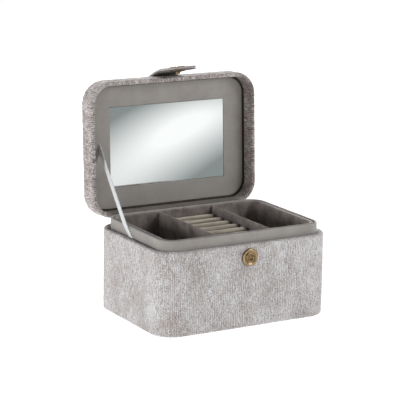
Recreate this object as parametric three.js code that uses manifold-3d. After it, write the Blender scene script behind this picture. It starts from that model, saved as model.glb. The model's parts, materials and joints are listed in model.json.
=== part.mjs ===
// Hinged jewellery box: a fabric-covered rectangular box with round corners, a lid with a mirror,
// a lift-out tray with two bins and a row of ring rolls, a ribbon stay and a snap strap.
// Millimetres, +Z up. The origin is the centre of the base's underside, -Y is the front.
import * as THREE from 'three';
import { mergeVertices } from 'three/addons/utils/BufferGeometryUtils.js';
import Module from 'manifold-3d';

const wasm = await Module();
wasm.setup();

// ---- Driving dimensions ----
const width = 175;
const depth = 126;
const cornerRadius = 21.6;
const cornerSteps = 8;
const roundSteps = 20;
const fabric = 1.0;
const glueGap = 0.2;
const turnedGap = 0.3;

// Base
const rimHeight = 76.8;
const shellWall = 6.2;
const undersideLip = 9;
const undersideLift = 0.4;
const rimTurnIn = 5;
const edgeRound = 2.2;
const floorBoard = 3;
const collarWall = 2.2;
const collarTop = 85.5;
const liningTop = 45.3;
const liningWall = 2.2;

// Lid, modelled closed and then turned open about the hinge pins
const lidHeight = 20.3;
const lidWall = 4.4;
const lidTop = rimHeight + lidHeight;
const mirrorRecess = 15.2;
const panelThickness = 1.6;
const panelGap = 1.6;
const mirrorWidth = 121.6;
const mirrorDepth = 74.8;
const lidOpenAngle = THREE.MathUtils.degToRad(93.1);

// Hinges
const hingeAxisY = depth / 2 + 3;
const hingeAxisZ = rimHeight - 1;
const hingeCentreX = 45;
const hingeWidth = 26;
const barrelRadius = 2.7;
const pinRadius = 1.25;
const leafThickness = 1;
const leafHeight = 12;
const screwSpacing = 16;
const screwShank = 0.9;
const screwHole = 1.2;
const screwHead = 1.9;

// Snap and strap; side positions are in the Y-Z plane of the closed lid
const snapHeight = 64.8;
const snapRadius = 7.6;
const snapHole = 2.6;
const strapWidth = 26;
const strapHalf = 1.6;
const strapRoot = new THREE.Vector2(-51.61, 99.4);
const strapBendRadius = 4;
const strapRootSlope = 120;
const tongueTop = new THREE.Vector2(-61.2, 103.5);
const tongueTopSlope = 244.3;
const tongueRadius = 140;
const tongueLength = 21;
const tipSlope = 260.8;
const tipLength = 26;
const studAlongTip = 12;

// Tray and ring rolls
const trayInset = shellWall + collarWall + 0.8;
const trayWall = 3.8;
const trayFloorLow = 45.5;
const trayFloorTop = 47.5;
const dividerX = 28.2;
const dividerThickness = 1.5;
const rollCount = 7;
const rollRadius = 6.95;
const rollTop = 79.6;

// ---- Outlines and solids ----

// The box outline moved inwards, as points running anticlockwise seen from above.
function outlinePoints(inset) {
  const points = [];
  const radius = cornerRadius - inset;
  const centreX = width / 2 - cornerRadius;
  const centreY = depth / 2 - cornerRadius;
  for (let corner = 0; corner < 4; corner += 1) {
    const signX = corner === 0 || corner === 3 ? 1 : -1;
    const signY = corner < 2 ? 1 : -1;
    for (let step = 0; step <= cornerSteps; step += 1) {
      const angle = (Math.PI / 2) * (corner + step / cornerSteps);
      points.push(new THREE.Vector2(
        signX * centreX + radius * Math.cos(angle),
        signY * centreY + radius * Math.sin(angle),
      ));
    }
  }
  return points;
}

// A solid whose surface runs through the profile's [inset, height] points, right round the box.
// A closed profile makes a ring; an open one is capped at both ends.
function solidRound(profile, closed) {
  const rings = profile.map(([inset]) => outlinePoints(inset));
  const count = rings[0].length;
  const positions = [];
  const faces = [];
  rings.forEach((ring, level) => {
    ring.forEach((point) => positions.push(point.x, point.y, profile[level][1]));
  });
  const bands = closed ? rings.length : rings.length - 1;
  for (let band = 0; band < bands; band += 1) {
    const low = band * count;
    const high = ((band + 1) % rings.length) * count;
    for (let i = 0; i < count; i += 1) {
      const next = (i + 1) % count;
      faces.push(low + i, low + next, high + next, low + i, high + next, high + i);
    }
  }
  if (!closed) {
    const last = rings.length - 1;
    const centre = rings.length * count;
    positions.push(0, 0, profile[0][1], 0, 0, profile[last][1]);
    for (let i = 0; i < count; i += 1) {
      const next = (i + 1) % count;
      faces.push(centre, next, i);
      faces.push(centre + 1, last * count + i, last * count + next);
    }
  }
  const geometry = new THREE.BufferGeometry();
  geometry.setAttribute('position', new THREE.Float32BufferAttribute(positions, 3));
  geometry.setIndex(faces);
  return geometry;
}

// A ring wall between two insets, its top edges rounded by arris.
function ringWall(outer, inner, low, high, arris = 0.6) {
  return solidRound([
    [inner, low],
    [outer, low],
    [outer, high - arris],
    [outer + arris, high],
    [inner - arris, high],
    [inner, high - arris],
  ], true);
}

function slab(inset, low, high) {
  return solidRound([[inset, low], [inset, high]], false);
}

function block(sizeX, sizeY, sizeZ, x, y, z) {
  return new THREE.BoxGeometry(sizeX, sizeY, sizeZ).translate(x, y, z);
}

function rodAlongX(radius, length, x, y, z) {
  const rod = new THREE.CylinderGeometry(radius, radius, length, roundSteps);
  return rod.rotateZ(Math.PI / 2).translate(x, y, z);
}

function rodAlongY(radius, length, x, y, z) {
  return new THREE.CylinderGeometry(radius, radius, length, roundSteps).translate(x, y, z);
}

// A point a given way along an arc that turns left.
function alongArc(start, slope, radius, distance) {
  const heading = THREE.MathUtils.degToRad(slope);
  const turned = heading + distance / radius;
  return new THREE.Vector2(
    start.x + radius * (Math.sin(turned) - Math.sin(heading)),
    start.y - radius * (Math.cos(turned) - Math.cos(heading)),
  );
}

// ---- Booleans ----

function toManifold(geometry) {
  const bare = geometry.clone();
  bare.deleteAttribute('normal');
  bare.deleteAttribute('uv');
  const merged = mergeVertices(bare, 1e-4);
  return new wasm.Manifold(new wasm.Mesh({
    numProp: 3,
    vertProperties: new Float32Array(merged.attributes.position.array),
    triVerts: new Uint32Array(merged.index.array),
  }));
}

function toGeometry(solid) {
  const mesh = solid.getMesh();
  const geometry = new THREE.BufferGeometry();
  geometry.setAttribute('position', new THREE.BufferAttribute(mesh.vertProperties, 3));
  geometry.setIndex(new THREE.BufferAttribute(mesh.triVerts, 1));
  return geometry;
}

function join(...pieces) {
  return toGeometry(pieces.map(toManifold).reduce((a, b) => a.add(b)));
}

function cut(piece, ...tools) {
  return toGeometry(tools.map(toManifold).reduce((a, b) => a.subtract(b), toManifold(piece)));
}

// ---- Materials and nodes ----

function material(color, roughness, metalness = 0) {
  return new THREE.MeshStandardMaterial({ color, roughness, metalness });
}

const materials = {
  chenille: () => material(0xbdb4b2, 0.85),
  velvet: () => material(0x8f8b83, 0.95),
  rollVelvet: () => material(0x9c9284, 0.95),
  board: () => material(0xa08a6a, 0.9),
  underside: () => material(0x55504c, 0.95),
  brass: () => material(0x8a7448, 0.4, 1),
  mirror: () => material(0xd8dede, 0.03, 1),
  ribbon: () => material(0xc8cccd, 0.45),
};

const box = new THREE.Group();
const lid = new THREE.Group();
const lidPieces = new THREE.Group();

function add(parent, name, kind, geometry) {
  const mesh = new THREE.Mesh(geometry, materials[kind]());
  mesh.name = name;
  parent.add(mesh);
}

// The lid group turns about the hinge pins; its pieces keep the closed lid's coordinates.
lid.position.set(0, hingeAxisY, hingeAxisZ);
lid.rotation.x = -lidOpenAngle;
lidPieces.position.set(0, -hingeAxisY, -hingeAxisZ);
lid.add(lidPieces);
box.add(lid);

// ---- Holes that several pieces share ----

const hingeCentres = { left: -hingeCentreX, right: hingeCentreX };
const baseScrewZ = hingeAxisZ - barrelRadius - turnedGap - leafHeight / 2;
const lidScrewZ = hingeAxisZ + barrelRadius + turnedGap + leafHeight / 2;

function screwXs() {
  return Object.values(hingeCentres).flatMap((x) => [x - screwSpacing / 2, x + screwSpacing / 2]);
}

function screwHoles(height) {
  return screwXs().map((x) => rodAlongY(screwHole, 16, x, depth / 2, height));
}

// The socket's two prongs pass through the cover and the front board.
function prongTools(clearance) {
  return [-4.5, 4.5].map((x) => block(
    0.8 + 2 * clearance,
    shellWall + 2,
    3.2 + 2 * clearance,
    x,
    -depth / 2 + shellWall / 2 - 1.4,
    snapHeight,
  ));
}

// ---- Base ----

// The cover's turned-under lip is held off the floor by the underside cloth.
const floorLow = undersideLift + fabric + glueGap;
const floorHigh = floorLow + floorBoard;

function baseCover() {
  const inner = shellWall - glueGap;
  const soft = edgeRound * 0.3;
  const profile = [
    [undersideLip, undersideLift],
    [edgeRound, undersideLift],
    [soft, undersideLift + soft],
    [0, undersideLift + edgeRound],
    [0, rimHeight - edgeRound],
    [soft, rimHeight - soft],
    [edgeRound, rimHeight],
    [inner - edgeRound, rimHeight],
    [inner - soft, rimHeight - soft],
    [inner, rimHeight - edgeRound],
    [inner, rimHeight - rimTurnIn],
    [inner - fabric, rimHeight - rimTurnIn],
    [inner - fabric, rimHeight - edgeRound],
    [inner - edgeRound, rimHeight - fabric],
    [edgeRound, rimHeight - fabric],
    [fabric, rimHeight - edgeRound],
    [fabric, undersideLift + edgeRound],
    [edgeRound, undersideLift + fabric],
    [undersideLip, undersideLift + fabric],
  ];
  const holes = [...screwHoles(baseScrewZ), ...prongTools(turnedGap)];
  return cut(solidRound(profile, true), ...holes);
}

function baseWall() {
  const outer = fabric + glueGap;
  const inner = shellWall - 2 * glueGap - fabric;
  const low = floorHigh + glueGap;
  const wall = ringWall(outer, inner, low, rimHeight - fabric - glueGap, 1.4);
  return cut(wall, ...screwHoles(baseScrewZ), ...prongTools(turnedGap));
}

add(box, 'base_cover_fabric', 'chenille', baseCover());
add(box, 'base_underside_cloth', 'underside', slab(undersideLip + glueGap, 0, undersideLift + fabric));
add(box, 'base_floor_board', 'board', solidRound([
  [edgeRound + glueGap, floorLow],
  [fabric + glueGap, floorLow + 1.2],
  [fabric + glueGap, floorHigh],
], false));
add(box, 'base_wall_board', 'board', baseWall());
add(box, 'inner_collar', 'velvet', ringWall(
  shellWall,
  shellWall + collarWall,
  floorHigh + glueGap,
  collarTop,
));
add(box, 'lower_bin_lining', 'velvet', ringWall(
  shellWall + collarWall + glueGap,
  shellWall + collarWall + glueGap + liningWall,
  floorHigh + glueGap,
  liningTop,
));
add(box, 'lower_bin_pad', 'velvet', slab(
  shellWall + collarWall + 2 * glueGap + liningWall,
  floorHigh + glueGap,
  floorHigh + glueGap + 1.4,
));

// ---- Snap socket on the base's front ----

// A turned ring with its axis along -Y: outer bead, groove, inner bead and centre hole.
function snapSocket() {
  const profile = [
    [snapHole, 0],
    [snapRadius, 0],
    [snapRadius, 0.9],
    [snapRadius - 0.6, 1.5],
    [snapRadius - 1.5, 1.5],
    [snapRadius - 2, 0.9],
    [snapHole + 1.9, 0.9],
    [snapHole + 1.4, 1.5],
    [snapHole + 0.4, 1.5],
    [snapHole, 1.2],
    [snapHole, 0],
  ].map(([radius, height]) => new THREE.Vector2(radius, height));
  const ring = new THREE.LatheGeometry(profile, 32);
  ring.rotateX(Math.PI).translate(0, -depth / 2 - 0.1, snapHeight);
  const prongs = prongTools(0);
  const trim = block(20, 3, 20, 0, -depth / 2 - 2.1, snapHeight);
  return join(ring, ...prongs.map((prong) => cut(prong, trim)));
}

function snapBacking() {
  const middleY = -depth / 2 + shellWall - fabric + 0.2;
  const washer = rodAlongY(6.2, 0.6, 0, middleY, snapHeight - 0.2);
  return cut(washer, ...prongTools(turnedGap), rodAlongY(2, 4, 0, middleY, snapHeight));
}

add(box, 'snap_socket', 'brass', snapSocket());
add(box, 'snap_socket_washer', 'brass', snapBacking());

// ---- Hinges ----

// A leaf lies on the back, above or below the barrel, with tongues to its own knuckles.
function hingeLeaf(centreX, side, knuckles) {
  const leafY = depth / 2 + turnedGap + leafThickness / 2;
  const plateZ = hingeAxisZ + side * (barrelRadius + turnedGap + leafHeight / 2);
  const tongueHeight = barrelRadius + turnedGap + 1;
  const parts = [block(hingeWidth, leafThickness, leafHeight, centreX, leafY, plateZ)];
  for (const [from, to] of knuckles) {
    const middle = centreX + (from + to) / 2;
    parts.push(block(
      to - from,
      leafThickness,
      tongueHeight,
      middle,
      leafY,
      hingeAxisZ + side * tongueHeight / 2,
    ));
    parts.push(rodAlongX(barrelRadius, to - from, middle, hingeAxisY, hingeAxisZ));
  }
  const bore = rodAlongX(pinRadius + turnedGap, hingeWidth + 2, centreX, hingeAxisY, hingeAxisZ);
  const holes = [-1, 1].map((sign) => rodAlongY(
    screwHole,
    6,
    centreX + sign * screwSpacing / 2,
    depth / 2,
    plateZ,
  ));
  return cut(join(...parts), bore, ...holes);
}

function hingeScrew(x, z, reach) {
  const headY = depth / 2 + turnedGap + leafThickness + 0.1;
  const head = new THREE.CylinderGeometry(screwHead * 0.6, screwHead, 0.9, roundSteps);
  head.translate(x, headY + 0.45, z);
  const shank = rodAlongY(screwShank, reach, x, headY - reach / 2 + 0.2, z);
  return join(head, shank);
}

const third = hingeWidth / 6;
const outerKnuckles = [
  [-hingeWidth / 2, -third - turnedGap / 2],
  [third + turnedGap / 2, hingeWidth / 2],
];
const middleKnuckle = [[-third + turnedGap / 2, third - turnedGap / 2]];

for (const [side, x] of Object.entries(hingeCentres)) {
  add(box, `hinge_base_leaf_${side}`, 'brass', hingeLeaf(x, -1, outerKnuckles));
  add(lidPieces, `hinge_lid_leaf_${side}`, 'brass', hingeLeaf(x, 1, middleKnuckle));
  add(box, `hinge_pin_${side}`, 'brass', rodAlongX(
    pinRadius,
    hingeWidth + 0.8,
    x,
    hingeAxisY,
    hingeAxisZ,
  ));
}
screwXs().forEach((x, index) => {
  add(box, `hinge_base_screw_${index + 1}`, 'brass', hingeScrew(x, baseScrewZ, 5));
  add(lidPieces, `hinge_lid_screw_${index + 1}`, 'brass', hingeScrew(x, lidScrewZ, 3.8));
});

// ---- Lid ----

function lidCover() {
  const soft = edgeRound * 0.3;
  const topRound = 2.8;
  const topSoft = topRound * 0.3;
  const profile = [
    [topRound, lidTop - fabric],
    [fabric, lidTop - topRound],
    [fabric, rimHeight + edgeRound],
    [edgeRound, rimHeight + fabric],
    [lidWall - 1.8, rimHeight + fabric],
    [lidWall - fabric, rimHeight + 1.6],
    [lidWall - fabric, rimHeight + mirrorRecess - turnedGap],
    [lidWall, rimHeight + mirrorRecess - turnedGap],
    [lidWall, rimHeight + 1.6],
    [lidWall - 0.4, rimHeight + 0.5],
    [lidWall - 1.6, rimHeight],
    [edgeRound, rimHeight],
    [soft, rimHeight + soft],
    [0, rimHeight + edgeRound],
    [0, lidTop - topRound],
    [topSoft, lidTop - topSoft],
    [topRound, lidTop],
  ];
  return cut(solidRound(profile, false), ...screwHoles(lidScrewZ));
}

function lidWallBoard() {
  const outer = fabric + turnedGap;
  const inner = lidWall - fabric - turnedGap;
  const low = rimHeight + edgeRound + 0.4;
  const high = rimHeight + mirrorRecess + panelThickness;
  return cut(ringWall(outer, inner, low, high, 0.3), ...screwHoles(lidScrewZ));
}

const panelLow = rimHeight + mirrorRecess;
const panelInset = lidWall + panelGap;
const mirrorX = -0.35;
const windowGap = 0.4;
const windowTool = block(
  mirrorWidth + 2 * windowGap,
  mirrorDepth + 2 * windowGap,
  8,
  mirrorX,
  0,
  panelLow,
);
add(lidPieces, 'lid_cover_fabric', 'chenille', lidCover());
add(lidPieces, 'lid_wall_board', 'board', lidWallBoard());
add(lidPieces, 'lid_top_board', 'board', slab(
  fabric + 2,
  panelLow + panelThickness + turnedGap,
  lidTop - fabric - turnedGap,
));
add(lidPieces, 'mirror_panel', 'velvet', cut(
  slab(panelInset, panelLow, panelLow + panelThickness),
  windowTool,
));
add(lidPieces, 'mirror_glass', 'mirror', block(
  mirrorWidth,
  mirrorDepth,
  1.2,
  mirrorX,
  0,
  panelLow + 1,
));

// ---- Ribbon stay: up the collar's outside, then straight to the mirror panel ----

const ribbonHalf = 0.3;
const ribbonLowX = -width / 2 + shellWall - glueGap - 2 * ribbonHalf;
const ribbonHighX = -72;

// Stations from the rim up: the middle's X, then the two edges' Y and Z.
const ribbonStations = [
  { x: ribbonLowX, edges: [[9.7, rimHeight + turnedGap], [2.2, rimHeight + turnedGap]] },
  { x: ribbonLowX, edges: [[20.5, collarTop + 0.4], [12.9, collarTop + 0.4]] },
  { x: ribbonHighX, edges: [[84.9, 136], [85.5, 145.5]] },
];

function ribbonStay() {
  const geometry = new THREE.BoxGeometry(1, 1, 2, 1, 1, ribbonStations.length - 1);
  const position = geometry.attributes.position;
  for (let i = 0; i < position.count; i += 1) {
    const station = ribbonStations[Math.round(position.getZ(i)) + 1];
    const [y, z] = station.edges[position.getY(i) > 0 ? 0 : 1];
    position.setXYZ(i, station.x + Math.sign(position.getX(i)) * ribbonHalf, y, z);
  }
  return geometry;
}

add(box, 'stay_ribbon', 'ribbon', ribbonStay());

// ---- Strap: an anchor on the lid's top, a root, a tongue and a tip with the snap ----

// A side point moved off the strap's middle line, towards the box for a positive offset.
function offsetPoint([point, slope], offset) {
  const heading = THREE.MathUtils.degToRad(slope);
  return new THREE.Vector2(
    point.x - offset * Math.sin(heading),
    point.y + offset * Math.cos(heading),
  );
}

// Side outlines lie in Y-Z; the extrusion's depth becomes X.
const sideToBox = new THREE.Matrix4().makeBasis(
  new THREE.Vector3(0, 1, 0),
  new THREE.Vector3(0, 0, 1),
  new THREE.Vector3(1, 0, 0),
);

function band(path, from, to) {
  const outer = path.map((station) => offsetPoint(station, from));
  const inner = path.map((station) => offsetPoint(station, to)).reverse();
  const shape = new THREE.Shape([...outer, ...inner]);
  const geometry = new THREE.ExtrudeGeometry(shape, { depth: strapWidth, bevelEnabled: false });
  return geometry.translate(0, 0, -strapWidth / 2).applyMatrix4(sideToBox);
}

// Two plies: a chenille cover outside and a velvet lining towards the box.
const plies = { cover: ['chenille', -strapHalf, 0.1], lining: ['velvet', 0.4, strapHalf] };

function addBand(name, path) {
  for (const [ply, [kind, from, to]] of Object.entries(plies)) {
    add(lidPieces, `${name}_${ply}`, kind, band(path, from, to));
  }
}

function straight(start, slope, distance) {
  const heading = THREE.MathUtils.degToRad(slope);
  const step = new THREE.Vector2(Math.cos(heading), Math.sin(heading));
  return start.clone().addScaledVector(step, distance);
}

// Stations along an arc, each a point and the slope there.
function arcStations(start, slope, radius, from, to, count) {
  const stations = [];
  for (let step = 0; step <= count; step += 1) {
    const distance = from + ((to - from) * step) / count;
    const turned = THREE.MathUtils.radToDeg(distance / radius);
    stations.push([alongArc(start, slope, radius, distance), slope + turned]);
  }
  return stations;
}

const anchorBack = -28;
const anchorFront = -49;
const hingeRelief = 1.3;
const foldRelief = [0.7, 1.9];
const tipRelief = 0.7;

// The bend starts where its arc, turned back from the tongue's top, meets the root's slope.
const bendTurn = THREE.MathUtils.degToRad(tongueTopSlope - strapRootSlope);
const bendLength = bendTurn * strapBendRadius;
const bendStart = alongArc(tongueTop, tongueTopSlope, strapBendRadius, -bendLength);

addBand('strap_anchor', [
  [new THREE.Vector2(anchorBack, strapRoot.y), 180],
  [new THREE.Vector2(anchorFront, strapRoot.y), 180],
]);
addBand('strap_root', [
  [straight(strapRoot, strapRootSlope, hingeRelief), strapRootSlope],
  ...arcStations(bendStart, strapRootSlope, strapBendRadius, 0, foldRelief[0], 1),
]);
addBand('strap_tongue', [
  ...arcStations(bendStart, strapRootSlope, strapBendRadius, foldRelief[1], bendLength, 5),
  ...arcStations(tongueTop, tongueTopSlope, tongueRadius, 0, tongueLength - tipRelief, 3).slice(1),
]);

// The tip is flat, with two round corners, and is drawn in plan: X across, Y along it.
const tipStart = alongArc(tongueTop, tongueTopSlope, tongueRadius, tongueLength);
const tipHeading = THREE.MathUtils.degToRad(tipSlope);
const planToTip = new THREE.Matrix4().makeBasis(
  new THREE.Vector3(1, 0, 0),
  new THREE.Vector3(0, Math.cos(tipHeading), Math.sin(tipHeading)),
  new THREE.Vector3(0, -Math.sin(tipHeading), Math.cos(tipHeading)),
).setPosition(0, tipStart.x, tipStart.y);
const postRadius = 1.2;

function tipPly(from, to) {
  const half = strapWidth / 2;
  const corner = 3;
  const plan = new THREE.Shape();
  plan.moveTo(-half, tipRelief);
  plan.lineTo(half, tipRelief);
  plan.lineTo(half, tipLength - corner);
  plan.absarc(half - corner, tipLength - corner, corner, 0, Math.PI / 2, false);
  plan.absarc(corner - half, tipLength - corner, corner, Math.PI / 2, Math.PI, false);
  plan.closePath();
  const hole = new THREE.Path();
  hole.absarc(0, studAlongTip, postRadius + turnedGap, 0, Math.PI * 2, true);
  plan.holes.push(hole);
  const geometry = new THREE.ExtrudeGeometry(plan, {
    depth: to - from,
    bevelEnabled: false,
    curveSegments: 6,
  });
  return geometry.translate(0, 0, from).applyMatrix4(planToTip);
}

for (const [ply, [kind, from, to]] of Object.entries(plies)) {
  add(lidPieces, `strap_tip_${ply}`, kind, tipPly(from, to));
}

// A turned piece on the snap's axis; heights run through the strap towards the box.
function turnedOnTip(profile) {
  const points = profile.map(([radius, height]) => new THREE.Vector2(radius, height));
  const geometry = new THREE.LatheGeometry(points, 24);
  return geometry.rotateX(Math.PI / 2).translate(0, studAlongTip, 0).applyMatrix4(planToTip);
}

const capRadius = 6.9;
const studRadius = 6.8;
const nubRadius = 2;
const studFace = strapHalf + 0.1;
add(lidPieces, 'snap_cap', 'brass', turnedOnTip([
  [0, -strapHalf - 1.3],
  [capRadius - 2.2, -strapHalf - 1.3],
  [capRadius - 0.6, -strapHalf - 0.9],
  [capRadius, -strapHalf - 0.2],
  [postRadius, -strapHalf - 0.2],
  [postRadius, studFace + 0.9],
  [0, studFace + 0.9],
]));
add(lidPieces, 'snap_stud', 'brass', turnedOnTip([
  [0, studFace + 1.3],
  [postRadius + turnedGap, studFace + 1.3],
  [postRadius + turnedGap, studFace],
  [studRadius - 0.5, studFace],
  [studRadius, studFace + 0.4],
  [studRadius - 0.5, studFace + 0.8],
  [nubRadius + 0.3, studFace + 0.8],
  [nubRadius, studFace + 1],
  [nubRadius, studFace + 2.8],
  [nubRadius - 0.5, studFace + 3.2],
  [0, studFace + 3.2],
]));

// ---- Tray ----

const trayFloorGap = 0.2;
const binLow = trayFloorTop + trayFloorGap;
const innerDepth = depth - 2 * (trayInset + trayWall);
const innerWidth = width - 2 * (trayInset + trayWall);
const trayRimZ = collarTop - 0.2;

add(box, 'tray_floor', 'board', slab(trayInset, trayFloorLow, trayFloorTop));
add(box, 'tray_wall', 'velvet', ringWall(
  trayInset,
  trayInset + trayWall,
  binLow,
  trayRimZ,
  1.2,
));

const padThickness = 1.2;
for (const [side, sign] of [['left', -1], ['right', 1]]) {
  add(box, `tray_divider_${side}`, 'velvet', block(
    dividerThickness,
    innerDepth - 0.4,
    trayRimZ - 0.2 - binLow,
    sign * dividerX,
    0,
    (trayRimZ - 0.2 + binLow) / 2,
  ));
  const keepFrom = dividerX + dividerThickness / 2 + trayFloorGap;
  const waste = block(
    innerWidth,
    innerDepth + 4,
    4,
    sign * (keepFrom - innerWidth / 2),
    0,
    binLow + padThickness / 2,
  );
  const whole = slab(trayInset + trayWall + trayFloorGap, binLow, binLow + padThickness);
  add(box, `tray_pad_${side}`, 'velvet', cut(whole, waste));
}

// ---- Ring rolls on their lift-out base ----

const rackHalf = dividerX - dividerThickness / 2 - 0.4;
const rollCentreZ = rollTop - rollRadius;
const rackTop = rollCentreZ - rollRadius - turnedGap;
const rollPitch = innerDepth / rollCount;

add(box, 'ring_rack_base', 'board', block(
  2 * rackHalf,
  innerDepth - 0.8,
  rackTop - binLow,
  0,
  0,
  (rackTop + binLow) / 2,
));
for (let index = 0; index < rollCount; index += 1) {
  const y = (index - (rollCount - 1) / 2) * rollPitch;
  add(box, `ring_roll_${index + 1}`, 'rollVelvet', rodAlongX(
    rollRadius,
    2 * rackHalf - 0.4,
    0,
    y,
    rollCentreZ,
  ));
}

export default box;
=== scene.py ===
"""Looks of a fabric-covered jewellery box: chenille base and lid, velvet tray and ring rolls,
a mirror in the lid, a satin ribbon stay and a strap with a press stud. Metres, +Z up."""

import json
import math

import bpy
import numpy as np
from mathutils import Matrix, Vector


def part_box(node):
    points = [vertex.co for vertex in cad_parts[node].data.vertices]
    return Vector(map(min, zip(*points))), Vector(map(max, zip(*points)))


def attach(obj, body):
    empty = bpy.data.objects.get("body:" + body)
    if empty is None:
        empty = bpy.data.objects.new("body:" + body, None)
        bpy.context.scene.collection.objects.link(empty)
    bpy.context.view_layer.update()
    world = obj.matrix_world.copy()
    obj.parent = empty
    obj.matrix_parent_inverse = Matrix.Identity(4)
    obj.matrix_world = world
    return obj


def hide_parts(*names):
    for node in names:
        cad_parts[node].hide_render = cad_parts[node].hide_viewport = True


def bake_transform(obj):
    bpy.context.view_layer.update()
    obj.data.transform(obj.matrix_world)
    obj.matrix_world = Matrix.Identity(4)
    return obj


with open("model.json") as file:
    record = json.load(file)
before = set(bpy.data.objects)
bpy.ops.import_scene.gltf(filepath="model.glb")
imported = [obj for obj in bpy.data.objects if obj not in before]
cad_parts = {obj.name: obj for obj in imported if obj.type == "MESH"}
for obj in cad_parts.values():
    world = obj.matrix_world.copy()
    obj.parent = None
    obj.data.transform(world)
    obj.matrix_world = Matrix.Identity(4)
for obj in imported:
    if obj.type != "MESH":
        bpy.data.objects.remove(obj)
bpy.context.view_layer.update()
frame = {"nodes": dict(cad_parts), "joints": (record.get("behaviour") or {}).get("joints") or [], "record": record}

MM = 0.001

# ---- Sizes read from the frame, in millimetres ----


def box_mm(node):
    low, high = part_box(node)
    return low / MM, high / MM


_, cover_high = box_mm("base_cover_fabric")
collar_low, collar_high = box_mm("inner_collar")
tray_low, tray_high = box_mm("tray_wall")
lining_low, lining_high = box_mm("lower_bin_lining")
pad_low, pad_high = box_mm("lower_bin_pad")
rack_low, rack_high = box_mm("ring_rack_base")

HALF_X = cover_high.x
HALF_Y = cover_high.y
CORNER = 21.6
RIM = cover_high.z
SHELL_WALL = HALF_X - collar_high.x
COLLAR_WALL = 2.2
TRAY_INSET = HALF_X - tray_high.x
TRAY_WALL = 3.8
FABRIC = 1.0
EDGE_ROUND = 2.2
UNDERSIDE_LIP = 9.0
PILE_ROOM = 0.32

LID_HEIGHT = 20.3
LID_TOP = RIM + LID_HEIGHT
LID_WALL = 4.4
PANEL_FACE = RIM + 15.2
PANEL_INSET = 6.0
PANEL_THICKNESS = 1.6
glass_low, glass_high = box_mm("mirror_glass")
GLASS_HALF_X = (glass_high.x - glass_low.x) / 2
GLASS_HALF_Y = 37.4
GLASS_SHIFT = (glass_high.x + glass_low.x) / 2

hinge = next(j for j in frame["joints"] if j["name"] == "lid_hinge")
hinge_point = Vector(hinge["pos_m"])
OPEN_ANGLE = math.radians(-min(hinge["range_deg"]))
LID_OPEN = (
    Matrix.Translation(hinge_point)
    @ Matrix.Rotation(-OPEN_ANGLE, 4, "X")
    @ Matrix.Translation(-hinge_point)
)

# ---- Seeded noise on points ----


def lattice(cell, seed):
    """A value from -1 to 1 for each whole-number cell."""
    mixed = (
        cell[:, 0] * 73856093 ^ cell[:, 1] * 19349663 ^ cell[:, 2] * 83492791 ^ seed * 2654435
    ) & 0xFFFFFFFF
    mixed = (mixed ^ (mixed >> 13)) * 1274126177 & 0xFFFFFFFF
    mixed = (mixed ^ (mixed >> 16)) * 2246822519 & 0xFFFFFFFF
    return (mixed ^ (mixed >> 15)) % 65536 / 32767.5 - 1


def noise(points, size, seed):
    """Smooth noise from -1 to 1 whose blobs are about size across, in the points' own units."""
    scaled = np.asarray(points, float) / size
    cell = np.floor(scaled).astype(np.int64)
    part = scaled - cell
    part = part * part * (3 - 2 * part)
    total = np.zeros(len(scaled))
    for corner in range(8):
        step = np.array([corner & 1, corner >> 1 & 1, corner >> 2 & 1])
        weight = np.where(step, part, 1 - part).prod(axis=1)
        total += weight * lattice(cell + step, seed)
    return total


# ---- Mesh building, in millimetres ----


def make_object(name, points, faces, transform=Matrix.Identity(4), cloth=None):
    mesh = bpy.data.meshes.new(name)
    mesh.from_pydata((np.asarray(points, float) * MM).tolist(), [], faces)
    if cloth is not None:
        attribute = mesh.attributes.new("cloth", "FLOAT_VECTOR", "POINT")
        attribute.data.foreach_set("vector", (np.asarray(cloth, float) * MM).ravel())
    mesh.transform(transform)
    mesh.polygons.foreach_set("use_smooth", [True] * len(mesh.polygons))
    mesh.update()
    piece = bpy.data.objects.new(name, mesh)
    bpy.context.scene.collection.objects.link(piece)
    return piece


def fillet(points, step=0.35):
    """A path through (a, b, radius) points with each corner rounded to its radius."""
    path = [np.array(points[0][:2], float)]
    for before, here, after in zip(points, points[1:], points[2:]):
        corner = np.array(here[:2], float)
        radius = here[2] if len(here) > 2 else 0
        to_before = np.array(before[:2], float) - corner
        to_after = np.array(after[:2], float) - corner
        long_before, long_after = np.linalg.norm(to_before), np.linalg.norm(to_after)
        to_before, to_after = to_before / long_before, to_after / long_after
        inside = math.acos(np.clip(to_before @ to_after, -1, 1))
        if radius < 1e-6 or inside > math.pi - 1e-3:
            path.append(corner)
            continue
        tangent = radius / math.tan(inside / 2)
        start, end = corner + to_before * tangent, corner + to_after * tangent
        bisector = (to_before + to_after) / np.linalg.norm(to_before + to_after)
        centre = corner + bisector * radius / math.sin(inside / 2)
        sweep = math.pi - inside
        count = max(2, math.ceil(sweep * radius / step))
        for index in range(count + 1):
            share = index / count
            arm = (start - centre) * math.sin((1 - share) * sweep)
            arm = arm + (end - centre) * math.sin(share * sweep)
            path.append(centre + arm / math.sin(sweep))
    path.append(np.array(points[-1][:2], float))
    return path


def ring_faces(rings, count, flip=False, first=0, ends=True):
    """Faces between rings of count points each, and one closing each end."""
    faces = []
    for band in range(rings - 1):
        for k in range(count):
            a, b = first + band * count + k, first + band * count + (k + 1) % count
            faces.append((a, b, b + count, a + count))
    last = first + (rings - 1) * count
    if ends:
        faces += [tuple(range(first, first + count))[::-1], tuple(range(last, last + count))]
    return [face[::-1] for face in faces] if flip else faces


def heading(angle):
    """A step of length 1 at an angle from the first axis."""
    return np.array([math.cos(angle), math.sin(angle)])


def circle(radius, count):
    """Points round a circle, first along its first axis."""
    angles = [2 * math.pi * k / count for k in range(count)]
    return [(radius * math.cos(angle), radius * math.sin(angle)) for angle in angles]


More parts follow.
